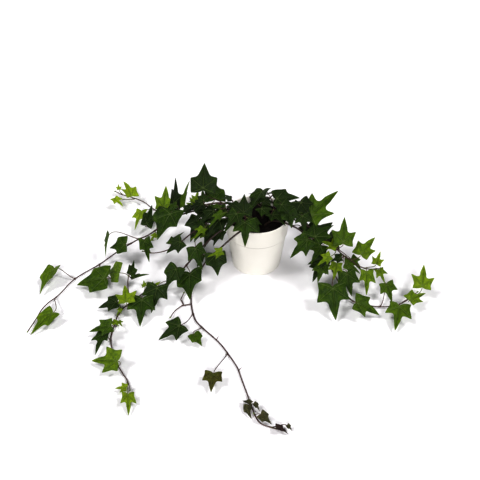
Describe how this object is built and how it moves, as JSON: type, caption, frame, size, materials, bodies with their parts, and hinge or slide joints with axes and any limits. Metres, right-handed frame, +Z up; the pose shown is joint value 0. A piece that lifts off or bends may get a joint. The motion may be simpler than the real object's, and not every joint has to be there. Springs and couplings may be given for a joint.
{
  "type": "potted trailing ivy",
  "caption": "Trailing ivy in a round tapered pot with a rim band, its leafy stems rooted in soil and trailing over the rim and along the surface.",
  "frame": {"origin": "centre of the pot's base, on the surface that the pot stands on", "axes": "+Z up, the front that the picture shows faces -Y, +X to the right seen from the front"},
  "size_m": [0.734, 0.6381, 0.1844],
  "materials": {
    "pot_plastic": "satin",
    "soil": "matte",
    "ivy": "satin"
  },
  "bodies": {
    "root": {"pot": "pot_plastic", "soil": "soil", "vine_left_long": "ivy", "vine_left_upper": "ivy", "vine_left_middle": "ivy", "vine_left_front": "ivy", "vine_front_long": "ivy", "vine_right_back": "ivy", "vine_right_upper": "ivy", "vine_right_lower": "ivy", "crown_left": "ivy", "crown_front": "ivy", "crown_right": "ivy", "crown_back": "ivy"}
  },
  "joints": []
}
